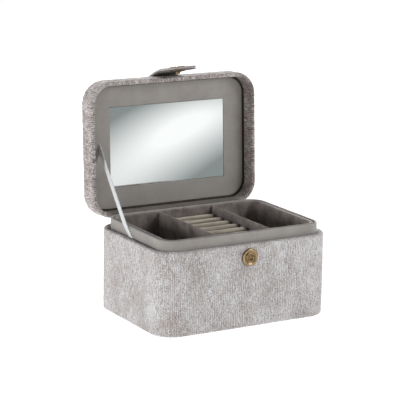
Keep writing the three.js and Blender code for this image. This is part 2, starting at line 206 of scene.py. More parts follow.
def resample(rows, step):
    """Rows of numbers with more put in between, so that none is further than step from the next."""
    result = [np.asarray(rows[0], float)]
    for low, high in zip(rows, rows[1:]):
        low, high = np.asarray(low, float), np.asarray(high, float)
        count = max(1, math.ceil(np.abs(high - low).max() / step))
        result += [low + (high - low) * (index + 1) / count for index in range(count)]
    return result


class Columns:
    """The places round the box's outline, from the back's middle anticlockwise seen from above."""

    def __init__(self, step):
        self.centres, self.normals, self.arc = [], [], [0.0]
        straight = np.array([HALF_X - CORNER, HALF_Y - CORNER])
        back_middle = straight * [0, 1]
        place = back_middle
        for signs, facing in (((-1, 1), 90), ((-1, -1), 180), ((1, -1), 270), ((1, 1), 360)):
            corner = straight * signs
            self.side(place, corner, facing, 0, step)
            self.side(corner, corner, facing, 90, step)
            place = corner
        self.side(place, back_middle, 90, 0, step)
        self.centres, self.normals = np.array(self.centres), np.array(self.normals)
        self.arc = np.array(self.arc[:-1])

    def side(self, start, end, facing, turn, step):
        """A straight side, or a corner that turns by 90 degrees."""
        length = math.pi / 2 * CORNER if turn else np.linalg.norm(end - start)
        count = max(6 if turn else 2, round(length / step))
        for index in range(count):
            share = index / count
            self.centres.append(start + (end - start) * share)
            self.normals.append(heading(math.radians(facing + turn * share)))
            self.arc.append(self.arc[-1] + length / count)

    def loop(self, half_x, half_y, radius, shift):
        """A round-cornered rectangle with a point for each column."""
        scale = [(half_x - radius) / (HALF_X - CORNER), (half_y - radius) / (HALF_Y - CORNER)]
        return self.centres * scale + self.normals * radius + np.array([shift, 0])


def inset_rows(profile, step=0.35):
    """Rows for a profile of (inset, height, rounding radius) points."""
    return [
        (HALF_X - inset, HALF_Y - inset, CORNER - inset, 0, height)
        for inset, height in fillet(profile, step)
    ]


def wrapped(name, rows, column_step, row_step, closed):
    """A surface through rows of (half x, half y, corner radius, shift x, height)."""
    columns = Columns(column_step)
    rows = list(rows) + ([rows[0]] if closed else [])
    rows = resample(rows, row_step)
    rows = rows[:-1] if closed else rows
    points, cloth, travel = [], [], 0.0
    before = rows[0]
    for row in rows:
        travel += math.hypot(row[0] - before[0], row[4] - before[4])
        before = row
        plan = columns.loop(*row[:4])
        points.append(np.column_stack([plan, np.full(len(plan), row[4])]))
        cloth.append(np.column_stack([columns.arc, np.full(len(plan), travel), np.zeros(len(plan))]))
    count = len(columns.arc)
    faces = []
    for band in range(len(rows) if closed else len(rows) - 1):
        low, high = band * count, (band + 1) % len(rows) * count
        faces += [
            (low + i, low + (i + 1) % count, high + (i + 1) % count, high + i)
            for i in range(count)
        ]
    if not closed:
        for index, row in ((0, rows[0]), (len(rows) - 1, rows[-1])):
            points.append(np.array([[row[3], 0, row[4]]]))
            cloth.append(np.array([[row[3], 0, 0]]))
            centre = len(rows) * count + (0 if index == 0 else 1)
            first = index * count
            ring = [(first + i, first + (i + 1) % count) for i in range(count)]
            faces += [(centre, b, a) if index == 0 else (centre, a, b) for a, b in ring]
    return make_object(name, np.vstack(points), faces, cloth=np.vstack(cloth))


def vertex_arrays(piece):
    count = len(piece.data.vertices)
    points, normals = np.zeros(count * 3), np.zeros(count * 3)
    piece.data.vertices.foreach_get("co", points)
    piece.data.vertex_normals.foreach_get("vector", normals)
    return points.reshape(-1, 3) / MM, normals.reshape(-1, 3)


def push(piece, distance_mm):
    """Moves each point along its normal."""
    points, normals = vertex_arrays(piece)
    points = points + normals * np.asarray(distance_mm)[:, None]
    piece.data.vertices.foreach_set("co", (points * MM).ravel())
    piece.data.update()


def mark(piece, name, values):
    piece.data.attributes.new(name, "FLOAT", "POINT").data.foreach_set("value", values)


def cloth_of(piece):
    values = np.zeros(len(piece.data.vertices) * 3)
    piece.data.attributes["cloth"].data.foreach_get("vector", values)
    return values.reshape(-1, 3) / MM


def edge_lines(low, high, radius, step):
    """Grid places from low to high, close together on the rounded ends."""
    inner_low, inner_high = low + radius, high - radius
    count = max(1, math.ceil((inner_high - inner_low) / step))
    ends = [radius * (1 - math.cos(math.pi / 2 * k / 4)) for k in range(4)]
    middle = [inner_low + (inner_high - inner_low) * k / count for k in range(count + 1)]
    return [low + e for e in ends] + middle + [high - e for e in ends[::-1]]


def rounded_block(name, low, high, radius, step=2.0, transform=Matrix.Identity(4)):
    """A box with all its edges rounded, as one closed grid of points."""
    low, high = np.array(low, float), np.array(high, float)
    lines = [edge_lines(low[k], high[k], radius, step) for k in range(3)]
    numbers, points, faces = {}, [], []

    def number(key):
        if key not in numbers:
            numbers[key] = len(points)
            points.append([lines[k][key[k]] for k in range(3)])
        return numbers[key]

    for axis in range(3):
        u, v = (axis + 1) % 3, (axis + 2) % 3
        for end in (0, len(lines[axis]) - 1):
            for a in range(len(lines[u]) - 1):
                for b in range(len(lines[v]) - 1):
                    corners = []
                    for da, db in ((0, 0), (1, 0), (1, 1), (0, 1)):
                        key = [0, 0, 0]
                        key[axis], key[u], key[v] = end, a + da, b + db
                        corners.append(number(tuple(key)))
                    faces.append(corners if end else corners[::-1])
    points = np.array(points)
    core = np.clip(points, low + radius, high - radius)
    arm = points - core
    length = np.linalg.norm(arm, axis=1, keepdims=True)
    points = core + arm / np.maximum(length, 1e-9) * radius * (length > 1e-9)
    return make_object(name, points, faces, transform, points)


RIB_PITCH = 1.8
# Added to one face's places on the cloth, so that its pattern isn't the next face's.
APART = 900


def add_pile(piece, ribs, rough, seed, share=1.0):
    """Chenille ribs along the cloth's length, and an uneven surface, up to a few tenths high."""
    cloth = cloth_of(piece)
    points, _ = vertex_arrays(piece)
    wander = 0.35 * noise(cloth * [1, 0.25, 1], 3.0, seed)
    wave = np.cos(2 * math.pi * (cloth[:, 0] + wander) / RIB_PITCH)
    broken = 0.6 + 0.4 * noise(cloth * [1, 0.5, 1], 2.4, seed + 1)
    height = ribs * wave * broken
    height += rough * noise(points, 1.1, seed + 2)
    height += 0.12 * noise(points, 14, seed + 3)
    push(piece, (height - ribs) * share)


def add_nap(piece, amount, seed):
    """The slight unevenness of glued velvet."""
    points, _ = vertex_arrays(piece)
    push(piece, amount * noise(points, 7, seed) + amount * 0.5 * noise(points, 2, seed + 1) - amount)


# ---- Materials ----


class Nodes:
    """Short calls for building one material's node tree."""

    def __init__(self, name):
        self.material = bpy.data.materials.new(name)
        self.material.use_nodes = True
        self.tree = self.material.node_tree
        self.shader = self.tree.nodes["Principled BSDF"]

    def node(self, kind, **settings):
        made = self.tree.nodes.new(kind)
        for key, value in settings.items():
            setattr(made, key, value)
        return made

    def link(self, source, target):
        if isinstance(source, (int, float, tuple)):
            target.default_value = source
        else:
            self.tree.links.new(source, target)

    def cloth(self):
        return self.node("ShaderNodeAttribute", attribute_name="cloth").outputs["Vector"]

    def attribute(self, name):
        return self.node("ShaderNodeAttribute", attribute_name=name).outputs["Fac"]

    def object_point(self):
        return self.node("ShaderNodeTexCoord").outputs["Object"]

    def stretch(self, vector, scale):
        made = self.node("ShaderNodeMapping")
        self.link(vector, made.inputs["Vector"])
        made.inputs["Scale"].default_value = scale
        return made.outputs["Vector"]

    def noise(self, vector, size_mm, detail=2.0, roughness=0.5):
        made = self.node("ShaderNodeTexNoise")
        self.link(vector, made.inputs["Vector"])
        made.inputs["Scale"].default_value = 1 / (size_mm * MM)
        made.inputs["Detail"].default_value = detail
        made.inputs["Roughness"].default_value = roughness
        return made.outputs["Fac"]

    def math(self, operation, a, b=0.0, c=0.0):
        made = self.node("ShaderNodeMath", operation=operation)
        for socket, value in zip(made.inputs, (a, b, c)):
            self.link(value, socket)
        return made.outputs[0]

    def weigh(self, value, pattern, weight):
        """The value, raised where the pattern is above its middle and lowered where it is below."""
        return self.math("MULTIPLY_ADD", self.math("SUBTRACT", pattern, 0.5), weight, value)

    def ramp(self, value, stops):
        made = self.node("ShaderNodeValToRGB")
        self.link(value, made.inputs["Fac"])
        elements = made.color_ramp.elements
        while len(elements) < len(stops):
            elements.new(0.5)
        for element, (place, colour) in zip(elements, stops):
            element.position = place
            element.color = (*colour, 1)
        return made.outputs["Color"]

    def mix(self, share, first, second):
        made = self.node("ShaderNodeMix", data_type="RGBA")
        self.link(share, made.inputs["Factor"])
        self.link(first, made.inputs["A"])
        self.link(second, made.inputs["B"])
        return made.outputs["Result"]

    def split_x(self, vector):
        made = self.node("ShaderNodeSeparateXYZ")
        self.link(vector, made.inputs[0])
        return made.outputs["X"]

    def base(self, colour):
        self.link(colour, self.shader.inputs["Base Color"])

    def bump(self, height, distance_mm, strength=1.0):
        made = self.node("ShaderNodeBump")
        made.inputs["Strength"].default_value = strength
        made.inputs["Distance"].default_value = distance_mm * MM
        self.link(height, made.inputs["Height"])
        self.link(made.outputs["Normal"], self.shader.inputs["Normal"])

    def set(self, **values):
        for key, value in values.items():
            self.shader.inputs[key.replace("_", " ")].default_value = value


SMOOTH_DARK, SMOOTH_LIGHT = (0.075, 0.062, 0.045), (0.14, 0.12, 0.092)
# Near black: the colour of painted shade in velvet, in the creases between the rolls and under the strap's arch.
PAINTED_SHADE_COLOUR = (0.02, 0.016, 0.012, 1)


def chenille_material(name, dark, middle, light, warm, contrast, blotch):
    """Ribbed chenille: broken ribs along the cloth, silvery flecks and soft dark and warm patches.
    It is darker by painted shade where the attribute "pressed" is 1, and a smooth cloth where "plain" is 1."""
    n = Nodes(name)
    cloth = n.cloth()
    wander = n.weigh(0, n.noise(n.stretch(cloth, (1, 0.25, 1)), 3), 1.2 * MM)
    across = n.math("ADD", n.split_x(cloth), wander)
    wave = n.math("COSINE", n.math("MULTIPLY", across, 2 * math.pi / (RIB_PITCH * MM)))
    dashes = n.noise(n.stretch(cloth, (1, 0.16, 1)), 1.0, 2, 0.6)
    rib = n.math("MULTIPLY", wave, n.math("ADD", dashes, 0.3))
    patches = n.noise(n.stretch(cloth, (1, 0.6, 1)), 22, 4, 0.6)
    mottle = n.noise(n.stretch(cloth, (1, 0.5, 1)), 4.5, 3, 0.6)
    flecks = n.noise(n.stretch(cloth, (1, 0.8, 1)), 1.15, 2, 0.75)
    value = n.weigh(0.5, patches, 0.9 * contrast)
    value = n.weigh(value, mottle, blotch * contrast)
    value = n.weigh(value, dashes, 1.5 * contrast)
    value = n.weigh(value, flecks, 2.3 * contrast)
    value = n.math("MULTIPLY_ADD", rib, 0.16 * contrast, value)
    # Painted shade: the chenille's colour is darkened where this attribute is 1.
    painted_shade = n.attribute("painted_shade")
    value = n.math("MULTIPLY_ADD", painted_shade, -0.27, value)
    colour = n.ramp(value, [(0.1, dark), (0.5, middle), (0.9, light)])
    tint = n.noise(n.stretch(cloth, (1, 0.7, 1)), 12, 4, 0.65)
    tint = n.ramp(tint, [(0.5, (0, 0, 0)), (0.72, (0.6, 0.6, 0.6))])
    colour = n.mix(tint, colour, warm)
    plain = n.attribute("plain")
    cloth_colour = n.ramp(n.noise(cloth, 6, 3), [(0.3, SMOOTH_DARK), (0.7, SMOOTH_LIGHT)])
    n.base(n.mix(plain, colour, cloth_colour))
    fuzz = n.noise(cloth, 0.45, 1)
    height = n.math("MULTIPLY_ADD", rib, 0.5, n.math("ADD", flecks, fuzz))
    n.bump(height, 0.4, 0.7)
    n.set(Roughness=0.85, Sheen_Weight=0.2, Sheen_Roughness=0.5)
    return n.material


def velvet_material(name, dark, light, sheen=0.35, patch_mm=22, streak=(1, 1, 1)):
    """Short-pile velvet: patches or streaks where it is brushed, and a fine grain.
    Where the attribute "pressed" is 1 it is painted shade, nearly black."""
    n = Nodes(name)
    point = n.object_point()
    brushed = n.noise(n.stretch(point, streak), patch_mm, 3, 0.6)
    grain = n.noise(point, 0.5, 2, 0.7)
    value = n.math("MULTIPLY_ADD", n.math("SUBTRACT", grain, 0.5), 0.7, brushed)
    # Painted shade: the velvet is mixed towards near black where this attribute is 1.
    painted_shade = n.attribute("painted_shade")
    colour = n.mix(painted_shade, n.ramp(value, [(0.25, dark), (0.75, light)]), PAINTED_SHADE_COLOUR)
    n.base(colour)
    n.bump(n.math("ADD", grain, n.noise(point, 1.3, 2)), 0.12, 0.5)
    n.set(Roughness=0.92, Sheen_Weight=sheen, Sheen_Roughness=0.45)
    return n.material


def satin_material():
    n = Nodes("satin")
    cloth = n.cloth()
    threads = n.noise(n.stretch(cloth, (1, 0.08, 1)), 0.35, 2, 0.6)
    slubs = n.noise(cloth, 5, 2)
    value = n.math("MULTIPLY_ADD", slubs, 0.4, n.math("MULTIPLY", threads, 0.6))
    colour = n.ramp(value, [(0.3, (0.52, 0.54, 0.55)), (0.7, (0.66, 0.69, 0.70))])
    n.base(colour)
    n.bump(threads, 0.08, 0.5)
    n.set(Roughness=0.42, Anisotropic=0.5, Sheen_Weight=0.2)
    return n.material


def brass_material():
    """Antique brass: bright where it is rubbed, darker in patches and in its hollows."""
    n = Nodes("antique_brass")
    point = n.object_point()
    tarnish = n.noise(point, 2.6, 4, 0.65)
    scratches = n.noise(n.stretch(point, (1, 1, 6)), 1.1, 3, 0.7)
    value = n.math("MULTIPLY_ADD", scratches, 0.35, n.math("MULTIPLY", tarnish, 0.65))
    recess = n.attribute("recess")
    value = n.math("MULTIPLY_ADD", recess, -0.2, value)
    colour = n.ramp(value, [(0.1, (0.045, 0.03, 0.016)), (0.36, (0.22, 0.15, 0.075)),
                            (0.6, (0.42, 0.315, 0.185))])
    n.base(colour)
    rough = n.math("MULTIPLY_ADD", tarnish, 0.35, 0.18)
    n.link(rough, n.shader.inputs["Roughness"])
    n.bump(scratches, 0.05, 0.4)
    n.set(Metallic=1.0)
    return n.material


def mirror_material():
    n = Nodes("silvered_glass")
    haze = n.noise(n.object_point(), 30, 2)
    n.link(n.math("MULTIPLY_ADD", haze, 0.02, 0.01), n.shader.inputs["Roughness"])
    n.set(Base_Color=(0.90, 0.925, 0.92, 1), Metallic=1.0)
    return n.material


def board_material():
    n = Nodes("fibreboard")
    point = n.object_point()
    fibres = n.noise(n.stretch(point, (1, 1, 4)), 0.7, 4, 0.7)
    colour = n.ramp(fibres, [(0.3, (0.045, 0.036, 0.026)), (0.7, (0.10, 0.08, 0.058))])
    n.base(colour)
    n.bump(fibres, 0.1, 0.4)
    n.set(Roughness=0.9)
    return n.material


def felt_material():
    n = Nodes("underside_felt")
    point = n.object_point()
    fibres = n.noise(point, 0.6, 4, 0.75)
    colour = n.ramp(fibres, [(0.3, (0.05, 0.045, 0.04)), (0.7, (0.12, 0.11, 0.10))])
    n.base(colour)
    n.bump(fibres, 0.2, 0.6)
    n.set(Roughness=0.95, Sheen_Weight=0.3)
    return n.material


CHENILLE = chenille_material(
    "chenille", (0.24, 0.20, 0.188), (0.455, 0.437, 0.437), (0.69, 0.695, 0.70),
    (0.36, 0.305, 0.275, 1), 0.95, 0.28,
)
CHENILLE_LID = chenille_material(
    "chenille_lid", (0.11, 0.08, 0.072), (0.37, 0.33, 0.315), (0.62, 0.595, 0.585),
    (0.21, 0.16, 0.145, 1), 0.95, 0.9,
)
VELVET = velvet_material("velvet", (0.262, 0.243, 0.228), (0.342, 0.323, 0.304))
TRAY_VELVET = velvet_material(
    "tray_velvet", (0.10, 0.081, 0.072), (0.30, 0.268, 0.248), patch_mm=11
)
ROLL_VELVET = velvet_material(
    "roll_velvet", (0.28, 0.235, 0.17), (0.70, 0.64, 0.515), patch_mm=3.5, streak=(0.15, 1, 1)
)
# The lining's velvet is darkened as painted shade for the strap's shaded underside.
LINING_VELVET = velvet_material("lining_velvet", (0.07, 0.063, 0.054), (0.16, 0.148, 0.13), 0.06)
SATIN = satin_material()
BRASS = brass_material()
MIRROR = mirror_material()
BOARD = board_material()
FELT = felt_material()

MATERIALS = {
    "chenille": CHENILLE,
    "velvet": VELVET,
    "roll_velvet": ROLL_VELVET,
    "satin_ribbon": SATIN,
    "brass": BRASS,
    "mirror": MIRROR,
    "board": BOARD,
    "underside_cloth": FELT,
}


def finish_piece(piece, slot, body, *nodes, material=None):
    """Gives a piece its material, and says what it stands for and what it rides on."""
    piece.data.materials.clear()
    piece.data.materials.append(material or MATERIALS[slot])
    if body:
        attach(piece, body)
    if nodes:
        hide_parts(*nodes)


# ---- Base ----


def base_cover():
    inner = SHELL_WALL - 0.2
    rim = RIM - PILE_ROOM
    under, within, hem = 0.6, 1.2, rim - 5
    rows = inset_rows([
        (inner - FABRIC, hem), (inner - FABRIC, rim - FABRIC - 0.2, within),
        (FABRIC, rim - FABRIC - 0.2, within), (FABRIC, under + FABRIC, within),
        (UNDERSIDE_LIP, under + FABRIC), (UNDERSIDE_LIP, under), (0, under, EDGE_ROUND),
        (0, rim, EDGE_ROUND), (inner, rim, EDGE_ROUND), (inner, hem),
    ])
    piece = wrapped("base_cover", rows, 0.5, 1.3, True)
    add_pile(piece, 0.11, 0.16, 11)
    add_seam(piece, 0, 0.5)
    finish_piece(piece, "chenille", "base", "base_cover_fabric")


def add_seam(piece, seam_x, depth_mm):
    """A groove 1 mm to each side of its line down the back, where the fabric's two ends meet."""
    points, _ = vertex_arrays(piece)
    groove = np.clip(1 - np.abs(points[:, 0] - seam_x), 0, 1) * (points[:, 1] > 0)
    push(piece, -depth_mm * groove)


def velvet_ring(name, outer, inner, low, high, arris, body, node, seed, material=None):
    """A velvet-covered wall round the box with soft top edges."""
    corners = [(inner, low), (outer, low), (outer, high, arris), (inner, high, arris), (inner, low)]
    rows = inset_rows(corners, 0.2)[:-1]
    piece = wrapped(name, rows, 0.8, 1.6, True)
    add_nap(piece, 0.06, seed)
    add_seam(piece, -0.25, 0.8)
    finish_piece(piece, "velvet", body, node, material=material)


def velvet_slab(name, inset, low, high, body, node, seed):
    within = inset + 30
    edge = [(within, low), (inset, low, 0.4), (inset, high, 0.4), (within, high)]
    rows = inset_rows(edge, 0.15)
    centre = (0.5, 0.5, 0.2, 0)
    rows = [(*centre, low)] + rows[1:-1] + [(*centre, high)]
    piece = wrapped(name, rows, 2.0, 2.5, False)
    add_nap(piece, 0.05, seed)
    finish_piece(piece, "velvet", body, node)


base_cover()
velvet_ring(
    "collar", SHELL_WALL, SHELL_WALL + COLLAR_WALL, collar_low.z, collar_high.z, 0.9,
    "base", "inner_collar", 21,
)
velvet_ring(
    "bin_lining", HALF_X - lining_high.x, HALF_X - lining_high.x + 2.2,
    lining_low.z, lining_high.z, 0.9, "base", "lower_bin_lining", 22,
)
velvet_slab("bin_pad", HALF_X - pad_high.x, pad_low.z, pad_high.z, "base", "lower_bin_pad", 23)
velvet_ring(
    "tray_lining", TRAY_INSET, TRAY_INSET + TRAY_WALL, tray_low.z, tray_high.z, 1.5,
    "tray", "tray_wall", 24, TRAY_VELVET,
)

# ---- Lid ----


def rounded_distance(points):
    """How far inside the box's outline each point lies."""
    arm = np.maximum(np.abs(points[:, :2]) - [HALF_X - CORNER, HALF_Y - CORNER], 0)
    return CORNER - np.linalg.norm(arm, axis=1)


def lid_cover():
    wall_low = PANEL_FACE - 0.3
    rim = RIM + PILE_ROOM
    hem, on_top = LID_WALL - FABRIC, CORNER - 4
    outer = inset_rows([
        (hem, wall_low), (LID_WALL, wall_low), (LID_WALL, rim, 1.6), (0, rim, EDGE_ROUND),
        (0, LID_TOP, EDGE_ROUND + 0.6), (on_top, LID_TOP),
    ])
    under = inset_rows([
        (on_top, LID_TOP - FABRIC), (FABRIC, LID_TOP - FABRIC, 1.8), (FABRIC, rim + FABRIC, 1.2),
        (hem, rim + FABRIC, 0.6), (hem, wall_low),
    ])
    centre = (1.0, 0.6, 0.3, 0)
    rows = [(*centre, LID_TOP - FABRIC)] + under + outer[1:] + [(*centre, LID_TOP)]
    piece = wrapped("lid_cover", rows, 0.5, 1.3, False)
    points, normals = vertex_arrays(piece)
    cloth = cloth_of(piece)
    top = (normals[:, 2] > 0.85) & (points[:, 2] > LID_TOP - 0.6)
    cloth[top, :2] = points[top, :2] + APART
    piece.data.attributes["cloth"].data.foreach_set("vector", (cloth * MM).ravel())
    inside = np.clip(rounded_distance(points) - 1.4, 0, 1) * (points[:, 2] < PANEL_FACE)
    at_hinge = np.clip((73 - np.abs(points[:, 0])) / 7, 0, 1) * (points[:, 1] > HALF_Y - 12)
    on_right = np.clip((points[:, 0] - (HALF_X - CORNER)) / 10, 0, 1)
    # Painted shade: the rim's inner part and the inner wall at the right end are darkened where shade falls.
    mark(piece, "painted_shade", inside * on_right)
    mark(piece, "plain", inside * at_hinge)
    add_pile(piece, 0.12, 0.16, 31, 1 - inside * at_hinge)
    add_seam(piece, 0, 0.5)
    piece.data.transform(LID_OPEN)
    finish_piece(piece, "chenille", "lid", "lid_cover_fabric", material=CHENILLE_LID)


def mirror_panel():
    back = PANEL_FACE + PANEL_THICKNESS
    window = (GLASS_HALF_X + 0.12, GLASS_HALF_Y + 0.12, 0.5, GLASS_SHIFT)
    edge = [(PANEL_INSET + 8, PANEL_FACE), (PANEL_INSET, PANEL_FACE, 0.9), (PANEL_INSET, back)]
    outer = inset_rows(edge, 0.15)
    lip = [
        (window[0] + 0.4 - rise, window[1] + 0.4 - rise, 0.5, GLASS_SHIFT, PANEL_FACE + drop)
        for rise, drop in ((0, 0), (0.2, 0.05), (0.35, 0.18), (0.4, 0.4))
    ]
    rows = outer[1:] + [(*window, back)] + lip[::-1]
    piece = wrapped("mirror_panel_cover", rows, 1.2, 1.5, True)
    add_nap(piece, 0.05, 41)
    piece.data.transform(LID_OPEN)
    finish_piece(piece, "velvet", "lid", "mirror_panel")


lid_cover()
mirror_panel()

# ---- Soft boards, pads and rolls ----


def tray_dividers():
    for side in ("left", "right"):
        node = f"tray_divider_{side}"
        low, high = box_mm(node)
        piece = rounded_block(f"divider_{side}", low, high, 0.7, 1.6)
        add_nap(piece, 0.04, 51 + len(side))
        finish_piece(piece, "velvet", "tray", node, material=TRAY_VELVET)


def pad_outline(low_x, high_x, half_y, left_radius, right_radius):
    """A rectangle with its own corner radius at each end, anticlockwise."""
    outline = []
    corners = (
        (high_x, half_y, right_radius, 0), (low_x, half_y, left_radius, 90),
        (low_x, -half_y, left_radius, 180), (high_x, -half_y, right_radius, 270),
    )
    for x, y, radius, first in corners:
        centre = np.array([x - math.copysign(radius, x - (low_x + high_x) / 2),
                           y - math.copysign(radius, y)])
        for k in range(7):
            angle = math.radians(first + 15 * k)
            outline.append(centre + radius * np.array([math.cos(angle), math.sin(angle)]))
    closed = outline + [outline[0]]
    return np.array(resample(closed, 2.0)[:-1])


def soft_pad(name, outline, low, high, crown, body, node, seed):
    """A flat pad with rounded edges and a slight crown."""
    centre = outline.mean(axis=0)
    count = len(outline)
    half_edge = 0.5
    rings = [(0.02, low), (0.5, low), (1 - half_edge / 30, low), (1, low + half_edge),
             (1, high - half_edge), (1 - half_edge / 40, high - 0.15)]
    rings += [(share, high + crown * (1 - share ** 4)) for share in (0.95, 0.85, 0.7, 0.5, 0.3, 0.12)]
    points = np.vstack([
        np.column_stack([centre + (outline - centre) * scale, np.full(count, height)])
        for scale, height in rings
    ])
    piece = make_object(name, points, ring_faces(len(rings), count), cloth=points)
    add_nap(piece, 0.05, seed)
    finish_piece(piece, "velvet", body, node, material=TRAY_VELVET)


def tray_pads():
    for side, sign in (("left", -1), ("right", 1)):
        node = f"tray_pad_{side}"
        low, high = box_mm(node)
        radii = (8.2, 0.7) if sign < 0 else (0.7, 8.2)
        outline = pad_outline(low.x, high.x, high.y, *radii)
        soft_pad(f"bin_pad_{side}", outline, low.z, high.z, 0.4, "tray", node, 55 + sign)


ROLL_SIDES = 32
ROLL_SHOULDER = 3.2
ROLL_GAP = 0.85


def roll_mesh(name, low, high, seed):
    """A plump cylinder along X with shoulders at its ends, before it is blown up."""
    centre_y, centre_z = (low.y + high.y) / 2, (low.z + high.z) / 2
    radius = (high.y - low.y) / 2 - ROLL_GAP
    half = (high.x - low.x) / 2 - 0.3
    middle_x = (high.x + low.x) / 2
    straight = half - ROLL_SHOULDER
    stations = [straight + ROLL_SHOULDER * math.sin(math.pi / 2 * k / 6) for k in range(7)]
    inner = np.linspace(-straight, straight, 40)
    places = [-x for x in stations[::-1]] + list(inner[1:-1]) + stations
    points = []
    for x in places:
        past = max(0.0, abs(x) - straight) / ROLL_SHOULDER
        share = math.sqrt(max(0.0, 1 - past ** 2)) * 0.75 + 0.25 * (1 - past)
        r = max(0.2, radius * (0.12 + 0.88 * share))
        points += [(middle_x + x, centre_y + y, centre_z + z) for z, y in circle(r, ROLL_SIDES)]
    piece = make_object(name, points, ring_faces(len(places), ROLL_SIDES, flip=True))
    push(piece, 0.25 * noise(np.array(points), 5, seed))
    return piece


def apply_modifiers(piece):
    """Keeps the mesh as its modifiers leave it."""
    evaluated = piece.evaluated_get(bpy.context.evaluated_depsgraph_get())
    mesh = bpy.data.meshes.new_from_object(evaluated)
    piece.modifiers.clear()
    old = piece.data
    piece.data = mesh
    bpy.data.meshes.remove(old)
    piece.data.polygons.foreach_set("use_smooth", [True] * len(piece.data.polygons))


SWELL_FRAMES = 14


def inflate(piece, voxel_mm, pressure, most_mm):
    """Blows a closed skin up a little as cloth over a filling, and keeps the result."""
    remesh = piece.modifiers.new("remesh", "REMESH")
    remesh.mode, remesh.voxel_size = "VOXEL", voxel_mm * MM
    apply_modifiers(piece)
    start, _ = vertex_arrays(piece)
    cloth = piece.modifiers.new("cloth", "CLOTH")
    settings = cloth.settings
    settings.quality = 5
    settings.mass = 0.15
    settings.tension_stiffness = settings.compression_stiffness = 12
    settings.bending_stiffness = 0.4
    settings.use_pressure = True
    settings.uniform_pressure_force = pressure
    settings.effector_weights.gravity = 0
    cloth.collision_settings.use_collision = False
    for number in range(1, SWELL_FRAMES + 1):
        bpy.context.scene.frame_set(number)
    apply_modifiers(piece)
    bpy.context.scene.frame_set(1)
    moved, _ = vertex_arrays(piece)
    step = moved - start
    length = np.linalg.norm(step, axis=1, keepdims=True)
    step *= np.minimum(1, most_mm / np.maximum(length, 1e-9))
    piece.data.vertices.foreach_set("co", ((start + step) * MM).ravel())
    piece.data.update()
    smooth = piece.modifiers.new("subdivide", "SUBSURF")
    smooth.levels = 1
    apply_modifiers(piece)


def ring_rolls():
    """Seven soft rolls, each its own skin over a filling."""
    names = sorted(name for name in frame["nodes"] if name.startswith("ring_roll_"))
    for index, node in enumerate(names):
        low, high = box_mm(node)
        piece = roll_mesh(f"soft_roll_{index + 1}", low, high, 60 + index)
        inflate(piece, 1.1, 3.0, 0.35)
        points, _ = vertex_arrays(piece)
        push(piece, 0.06 * noise(points, 2.5, 70 + index) - 0.06)
        from_top = (high.z - points[:, 2]) / (high.z - low.z)
        # Painted shade: each roll darkens down its sides, towards the creases between the rolls.
        mark(piece, "painted_shade", 0.85 * np.clip((from_top - 0.05) / 0.22, 0, 1))
        finish_piece(piece, "roll_velvet", "ring_rack", node)


def ring_rack():
    piece = rounded_block("rack_block", rack_low, rack_high, 0.8, 3.0)
    add_nap(piece, 0.05, 81)
    finish_piece(piece, "velvet", "ring_rack", "ring_rack_base", material=TRAY_VELVET)


tray_dividers()
tray_pads()
ring_rolls()
ring_rack()
tray_floor_low, tray_floor_high = box_mm("tray_floor")
velvet_slab(
    "tray_base", TRAY_INSET, tray_floor_low.z, tray_floor_high.z, "tray", "tray_floor", 83
)

# ---- Strap ----

STRAP_WIDTH = 26.0
STRAP_HALF = 1.6
PLY_SEAM = 0.7
STITCH_LINE = 11.2
# The strap's course, as Y and Z and slopes on the closed lid.
ANCHOR_START = -28.0
ROOT_PIVOT = np.array([-51.61, 99.4])
ROOT_SLOPE = math.radians(120)
TONGUE_TOP = np.array([-61.2, 103.5])
TONGUE_SLOPE = math.radians(244.3)
TONGUE_RADIUS = 140.0
TONGUE_LENGTH = 21.0
TIP_SLOPE = math.radians(260.8)
TIP_LENGTH = 26.0
TIP_CORNER = 3.0
STUD_ALONG = 12.0
# The stretch of lining under the strap's arch that is painted with shadow, from the anchor's end.
ARCH_START, ARCH_END = 22, 54


def tongue_point(distance):
    turned = TONGUE_SLOPE + distance / TONGUE_RADIUS
    run_y = math.sin(turned) - math.sin(TONGUE_SLOPE)
    run_z = math.cos(TONGUE_SLOPE) - math.cos(turned)
    return TONGUE_TOP + TONGUE_RADIUS * np.array([run_y, run_z])


TIP_START = tongue_point(TONGUE_LENGTH)


def strap_line():
    """The strap's middle line from the anchor to the tip's end, closed-lid Y and Z."""
    root, top = heading(ROOT_SLOPE), heading(TONGUE_SLOPE)
    across = np.linalg.solve(np.column_stack([root, -top]), TONGUE_TOP - ROOT_PIVOT)
    apex = ROOT_PIVOT + root * across[0]
    points = [(ANCHOR_START, ROOT_PIVOT[1]), (*ROOT_PIVOT, 3.0), (*apex, 4.0)]
    points += [tuple(tongue_point(distance)) for distance in np.linspace(1, TONGUE_LENGTH - 2, 8)]
    points += [(*TIP_START, 14.0), tuple(TIP_START + heading(TIP_SLOPE) * TIP_LENGTH)]
    return np.array(resample(fillet(points, 0.5), 0.7))


def line_headings(line):
    steps = np.gradient(line, axis=0)
    return np.arctan2(steps[:, 1], steps[:, 0])


def distances(line):
    """How far along the line each of its points is."""
    return np.concatenate([[0], np.cumsum(np.linalg.norm(np.diff(line, axis=0), axis=1))])


